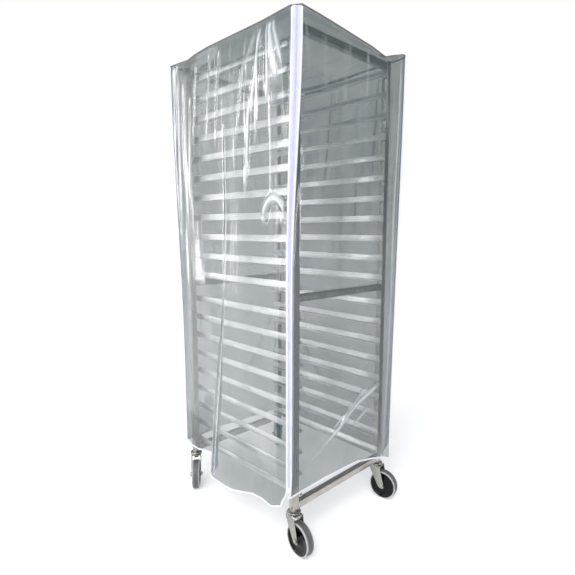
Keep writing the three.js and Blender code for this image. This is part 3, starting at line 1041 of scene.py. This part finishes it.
def mesh_object(name, points, faces, uv=None):
    mesh = bpy.data.meshes.new(name)
    mesh.from_pydata([tuple(p) for p in points], [], faces)
    if uv is not None:
        layer = mesh.uv_layers.new(name="flat")
        for loop in mesh.loops:
            layer.data[loop.index].uv = uv[loop.vertex_index]
    mesh.update()
    return placed(name, mesh)


def grid_faces(columns, rows):
    faces = []
    for j in range(rows):
        for i in range(columns):
            a = j * (columns + 1) + i
            faces.append((a, a + 1, a + columns + 2, a + columns + 1))
    return faces


def paint_crease_highlights(obj, highlight_strength, hanging):
    # Red holds the strength of the painted highlight; green holds how freely the film hangs, which
    # spreads the painted streak highlights.
    layer = obj.data.color_attributes.new("crease", "FLOAT_COLOR", "POINT")
    values = np.stack([highlight_strength, hanging, np.zeros_like(highlight_strength), np.ones_like(highlight_strength)], axis=-1)
    layer.data.foreach_set("color", values.astype(np.float32).ravel())


def turned_to(obj, face, outward):
    """Flips a sheet if one of its faces looks away from the given direction."""
    if obj.data.polygons[face].normal.dot(Vector(outward)) < 0:
        obj.data.flip_normals()


def thickened(obj, thickness):
    apply_modifier(obj, "SOLIDIFY", thickness=thickness, offset=0)
    make_active(obj)
    bpy.ops.object.shade_smooth()
    return obj


def film_sheet(name, panel, columns, rows, outward):
    s, t = np.meshgrid(np.linspace(0, 1, columns + 1), np.linspace(0, 1, rows + 1))
    points, highlight_strength, hanging = panel(s, t)
    obj = mesh_object(name, points.reshape(-1, 3), grid_faces(columns, rows))
    turned_to(obj, len(obj.data.polygons) // 2 + columns // 3, outward)
    paint_crease_highlights(obj, np.clip(highlight_strength, 0, 1).ravel(), np.clip(hanging, 0, 1).ravel())
    return thickened(obj, FILM)


def unit(vectors):
    return vectors / np.maximum(np.linalg.norm(vectors, axis=-1, keepdims=True), 1e-9)


def band_along(name, path, across, half_width, half_depth, closed=False, sides=10):
    """A flat-oval band: it follows path, with its width across and its thickness through."""
    count = len(path)
    if closed:
        tangent = unit(np.roll(path, -1, axis=0) - np.roll(path, 1, axis=0))
    else:
        tangent = unit(np.gradient(path, axis=0))
    across = unit(across - tangent * (across * tangent).sum(axis=1, keepdims=True))
    through = np.cross(tangent, across)
    run = np.concatenate([[0], np.cumsum(np.linalg.norm(np.diff(path, axis=0), axis=1))])
    points, uv = [], []
    for i in range(count):
        for k in range(sides):
            angle = 2 * math.pi * k / sides
            c, q = [
                math.copysign(abs(part) ** 0.7, part) for part in (math.cos(angle), math.sin(angle))
            ]
            points.append(path[i] + across[i] * c * half_width + through[i] * q * half_depth)
            uv.append((run[i], c * half_width))
    faces = []
    for i in range(count if closed else count - 1):
        a, b = i * sides, ((i + 1) % count) * sides
        for k in range(sides):
            m = (k + 1) % sides
            faces.append((a + k, b + k, b + m, a + m))
    if not closed:
        faces.append(tuple(range(sides)))
        faces.append(tuple((count - 1) * sides + k for k in reversed(range(sides))))
    obj = mesh_object(name, points, faces, uv)
    face_outward(obj)
    bpy.ops.object.shade_smooth_by_angle(angle=math.radians(50))
    return obj


def edge_path(panel, s, t, into):
    """Points along a panel's edge, and the direction from it into the film."""
    here = panel(s, t)[0]
    inner = panel(np.clip(s + into[0], 0, 1), np.clip(t + into[1], 0, 1))[0]
    return here, inner - here


def hem_binding(name, panel, count=150):
    s = np.linspace(0, 1, count)
    path, across = edge_path(panel, s, np.ones(count), (0, -0.006))
    return band_along(name, path, across, 3.6 * MM, 1.3 * MM)


def side_piping(name, panel, at, count=170):
    t = np.linspace(0.004, 1, count)
    inward = 0.01 if at == 0 else -0.01
    path, across = edge_path(panel, np.full(count, float(at)), t, (inward, 0))
    return band_along(name, path, across, 3.3 * MM, 2.1 * MM)


def top_outline(count=90):
    """The seam round the top, from the left zip along the front and round to the start."""
    t = np.zeros(count)
    s = np.linspace(0, 1, count, endpoint=False)
    front = front_panel(s, t)[0]
    right = right_panel(s, t)[0]
    back = back_panel(1 - s, t)[0]
    left = left_panel(1 - s, t)[0]
    return np.concatenate([front, right, back, left])


def top_film():
    """The top: it lies on the caps and bars, sags between them and lifts to its stiff seam."""
    outline = top_outline()
    count = len(outline)
    shares = np.concatenate([np.linspace(0, 0.16, 14), np.linspace(0.2, 0.985, 26)])
    rows, ring_highlight = [], []
    for share in shares:
        xy = outline[:, :2] * (1 - share)
        from_x, from_y = np.abs(xy[:, 0]), np.abs(xy[:, 1])
        inset = np.minimum(COVER_HALF_WIDTH - from_x, COVER_HALF_DEPTH - from_y)
        sag = (1 - ease(from_y, 0.10, 0.30)) * (1 - 0.35 * ease(from_x, 0.12, 0.26))
        ripple = np.sin(xy[:, 0] * 40 + xy[:, 1] * 13) * (1 - ease(from_y, 0.2, 0.3))
        rest = 1.7918 - 0.026 * sag + 0.0022 * ripple
        settle = ease(inset, 0.0, 0.032)
        rows.append(np.column_stack([xy, outline[:, 2] * (1 - settle) + rest * settle]))
        # A painted highlight in a ring on the slope where the top settles down from its seam.
        ring_highlight.append(0.35 * np.exp(-((inset - 0.016) / 0.006) ** 2))
    points = np.concatenate(rows)
    faces = []
    for j in range(len(shares) - 1):
        for i in range(count):
            a, m = j * count + i, j * count + (i + 1) % count
            faces.append((a, m, m + count, a + count))
    faces.append(tuple((len(shares) - 1) * count + i for i in range(count)))
    obj = mesh_object("film_top", points, faces)
    turned_to(obj, 0, (0, 0, 1))
    paint_crease_highlights(obj, np.concatenate(ring_highlight), np.full(len(points), 0.1))
    return thickened(obj, FILM)


def zip_band_point(side, t, across, out):
    """A point on a zip: across runs from its middle to the front panel, out from the rack."""
    facing = np.array([side, -1.0]) / math.sqrt(2)
    xy = zip_middle(side, t) + zip_across(side) * across[..., None] + facing * out[..., None]
    seam = SEAM_LINES["left" if side < 0 else "right"][1][0]
    z = seam - 0.002 + (ZIP_FOOT - 0.012 - seam) * t
    return np.concatenate([xy, z[..., None]], axis=-1)


def zip_tape(name, side, towards):
    rows, columns = 150, 6
    share, t = np.meshgrid(np.linspace(0, 1, columns + 1), np.linspace(0, 1, rows + 1))
    across = towards * (1.6 * MM + (zip_half(t) - 2.4 * MM) * share)
    out = 1.2 * MM * np.sin(np.pi * share) - 0.4 * MM
    points = zip_band_point(side, t, across, out)
    uv = np.stack([t.ravel() * ZIP_LENGTH, across.ravel() * towards], axis=-1)
    faces = grid_faces(columns, rows)
    obj = mesh_object(name, points.reshape(-1, 3), faces, [tuple(p) for p in uv])
    turned_to(obj, 0, (side, -1, 0))
    return thickened(obj, 0.7 * MM)


def zip_teeth(name, side, towards):
    """One row of moulded teeth, each a small block hooked over the middle of the zip."""
    count = int((SEAM - ZIP_FOOT) / TOOTH_PITCH)
    points, faces = [], []
    for i in range(count):
        t = np.array((i + (1.0 if towards > 0 else 0.5)) / (count + 1))
        for across in (-0.5 * MM, 2.2 * MM):
            thin = 0.6 if across < 0 else 1.0
            for lift in (-0.9 * MM, 0.9 * MM):
                for out in (-0.2 * MM, 1.7 * MM):
                    p = zip_band_point(side, t, np.array(towards * across), np.array(out * thin))
                    points.append(p + np.array([0, 0, lift * thin]))
        b = 8 * i
        faces += [
            (b, b + 1, b + 3, b + 2), (b + 4, b + 6, b + 7, b + 5), (b, b + 4, b + 5, b + 1),
            (b + 2, b + 3, b + 7, b + 6), (b, b + 2, b + 6, b + 4), (b + 1, b + 5, b + 7, b + 3),
        ]
    obj = mesh_object(name, points, faces)
    face_outward(obj)
    return obj


def slider():
    """The zip's slider about its own middle: X across the zip, Y out of it, Z up it."""
    body = box_start("slider_body", (-4.6 * MM, 0, -7 * MM), (4.6 * MM, 5 * MM, 7 * MM))
    grab(body, "faces", lambda face: face.normal.z > 0.9)
    bpy.ops.transform.resize(value=(1.25, 1, 1), center_override=(0, 0, 7 * MM))
    grab(body, "faces", lambda face: face.normal.y > 0.9)
    bpy.ops.mesh.inset(thickness=1.4 * MM)
    draw_out(0, 1.0 * MM, 0)
    done()
    soften(body, 0.7 * MM, 3, 40)
    low, high = (-1.2 * MM, 5.4 * MM, -5 * MM), (1.2 * MM, 8.6 * MM, 5 * MM)
    bridge = box_start("slider_bridge", low, high)
    grab(bridge, "faces", lambda face: face.normal.y > 0.9)
    bpy.ops.transform.resize(value=(1, 1, 0.6), center_override=(0, 0, 0))
    done()
    soften(bridge, 0.8 * MM, 3, 40)
    low, high = (-3.8 * MM, 6.2 * MM, -27 * MM), (3.8 * MM, 7.8 * MM, -1 * MM)
    pull = box_start("slider_pull", low, high)
    grab(pull, "faces", lambda face: abs(face.normal.y) > 0.9)
    bpy.ops.mesh.inset(thickness=1.9 * MM)
    bpy.ops.mesh.bridge_edge_loops()
    done()
    soften(pull, 0.5 * MM, 2, 40)
    return joined([body, bridge, pull])


def bind(piece, body, *nodes):
    return clothe(piece, white_tape, "white_binding", body, *nodes)


def build_cover():
    top = clothe(top_film(), film, "clear_vinyl", "cover", "cover_top")
    films = []
    for word, panel, columns, rows, outward, body, node in (
        ("left", left_panel, 190, 230, (-1, 0, 0), "cover", "cover_left_panel"),
        ("right", right_panel, 170, 120, (1, 0, 0), "cover", "cover_right_panel"),
        ("back", back_panel, 130, 120, (0, 1, 0), "cover", "cover_back_panel"),
        ("front", front_panel, 140, 290, (0, -1, 0), None, "cover_front_flap"),
    ):
        sheet = film_sheet(f"film_{word}", panel, columns, rows, outward)
        films.append(clothe(sheet, film, "clear_vinyl", body, node))
    left, right, back, front = films

    outline = top_outline()
    seam = band_along(
        "top_seam_cord", outline + np.array([0, 0, 0.6 * MM]), outline * np.array([1.0, 1.0, 0.0]),
        2.2 * MM, 2.0 * MM, closed=True,
    )
    clothe(seam, seam_cord, "white_binding", "cover", "top_seam_piping")

    for word, panel in (("left", left_panel), ("right", right_panel), ("back", back_panel)):
        hem = hem_binding(f"binding_{word}_hem", panel)
        bind(hem, "cover", f"hem_binding_{word}")
    for word, panel, at in (
        ("left_zip", left_panel, 0), ("right_zip", right_panel, 0),
        ("back_left", back_panel, 0), ("back_right", back_panel, 1),
    ):
        bind(side_piping(f"piping_{word}", panel, at), "cover")
    flap_edges = [
        bind(hem_binding("binding_flap_hem", front_panel), None, "hem_binding_flap"),
        bind(side_piping("piping_flap_left", front_panel, 0), None),
        bind(side_piping("piping_flap_right", front_panel, 1), None),
    ]
    flap_zips, side_zips = [], {}
    halves = (("side", -1, "cover"), ("flap", 1, None))
    pattern = slider()
    for side, word in ((-1, "left"), (1, "right")):
        tapes, rows = [], []
        for part, towards, body in halves:
            tape = zip_tape(f"tape_{word}_{part}", side, towards)
            tapes.append(clothe(tape, zip_cloth, "zip_tape", body, f"zip_tape_{word}_{part}"))
        for part, towards, body in halves:
            row = zip_teeth(f"teeth_{word}_{part}", side, towards)
            rows.append(clothe(row, zip_plastic, "zip_tape", body))
        side_zips[word] = [tapes[0], rows[0]]
        flap_zips += [tapes[1], rows[1]]
        at = zip_band_point(side, np.array(0.985), np.array(0.0), np.array(1.4 * MM))
        turn = Matrix.Rotation(math.atan2(-1, side) - math.pi / 2, 4, "Z")
        pull = gathered(f"slider_{word}_pull", pattern, [moved(*at.tolist()) @ turn])
        clothe(pull, slider_paint, "zip_tape", f"slider_{word}", f"zip_slider_{word}")
    discard(pattern)
    for piece in [front, *flap_edges, *flap_zips]:
        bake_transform(piece)


# ---- Floor, lights and camera ----

def lamp(name, kind, place, aim, power, gloss_only=False, **settings):
    data = bpy.data.lights.new(name, kind)
    data.energy = power
    for key, value in settings.items():
        setattr(data, key, value)
    obj = placed(name, data)
    obj.visible_diffuse = not gloss_only
    obj.visible_camera = False
    direction = Vector(aim) - Vector(place)
    obj.matrix_world = moved(*place) @ direction.to_track_quat("-Z", "Y").to_matrix().to_4x4()


def build_stage():
    deselect()
    bpy.ops.mesh.primitive_circle_add(vertices=96, radius=60, fill_type="NGON")
    floor = named_primitive("studio_floor")
    material, n, shader, place = new_material(
        "pale_floor", Roughness=0.85, Emission_Color=grey(1), Emission_Strength=0.32,
    )
    tone = n.band(n.noise(place, 0.8, 2.0, 0.5), 0.3, 0.7)
    n.feed(shader.inputs["Base Color"], n.mix(tone, grey(0.90), grey(0.93)))
    floor.data.materials.append(material)

    world = bpy.data.worlds.new("studio")
    bpy.context.scene.world = world
    world.use_nodes = True
    world.node_tree.nodes.clear()
    n = Nodes(world.node_tree)
    seen = n.add("ShaderNodeBackground", {"Color": grey(1), "Strength": 1.0})
    lit = n.add("ShaderNodeBackground", {"Color": rgb(0.90, 0.94, 1.0), "Strength": 0.42})
    camera_ray = n.add("ShaderNodeLightPath").outputs["Is Camera Ray"]
    mix = n.add("ShaderNodeMixShader", {0: camera_ray, 1: lit.outputs[0], 2: seen.outputs[0]})
    n.add("ShaderNodeOutputWorld", {"Surface": mix.outputs[0]})
    bpy.context.scene.view_settings.view_transform = "Standard"

    lamp("overhead", "SUN", (-3.2, -1.6, 4.2), (0, 0, 0), 1.9, angle=math.radians(60))
    for name, place, aim, power, width, tall, gloss_only in (
        ("strip_behind_left", (-2.6, 1.0, 1.5), (0, 0.1, 1.0), 24, 0.35, 2.4, True),
        ("strip_left", (-1.3, 2.6, 1.7), (-0.2, 0, 1.1), 20, 0.30, 2.2, True),
        ("strip_right", (2.9, -1.0, 1.6), (0, 0, 1.0), 12, 0.35, 2.4, True),
        ("strip_front", (0.9, -3.0, 1.8), (0.1, -0.1, 1.0), 24, 0.35, 2.2, True),
        ("sheen_left", (-0.75, 0.75, 1.0), (0.25, 0.75, 1.0), 22, 1.5, 2.0, True),
        ("soft_key", (-2.6, -1.9, 3.1), (0, 0, 0.9), 46, 1.6, 1.6, False),
    ):
        shape = {"shape": "RECTANGLE", "size": width, "size_y": tall}
        lamp(name, "AREA", place, aim, power, gloss_only, **shape)


def build_camera():
    yaw, pitch, roll = math.radians(-45.880), math.radians(7.044), math.radians(0.373)
    forward = Vector((
        -math.sin(yaw) * math.cos(pitch), math.cos(yaw) * math.cos(pitch), -math.sin(pitch),
    ))
    level = Vector((math.cos(yaw), math.sin(yaw), 0))
    above = level.cross(forward)
    right = level * math.cos(roll) + above * math.sin(roll)
    up = above * math.cos(roll) - level * math.sin(roll)
    turn = Matrix((right, up, -forward)).transposed().to_4x4()
    data = bpy.data.cameras.new("camera")
    data.lens = 28.83
    data.shift_x = -0.0379
    data.shift_y = 0.0018
    camera = placed("camera", data)
    camera.matrix_world = moved(-1.3128, -1.4188, 1.1351) @ turn
    bpy.context.scene.camera = camera


build_rack()
build_casters()
build_cover()
build_stage()
build_camera()
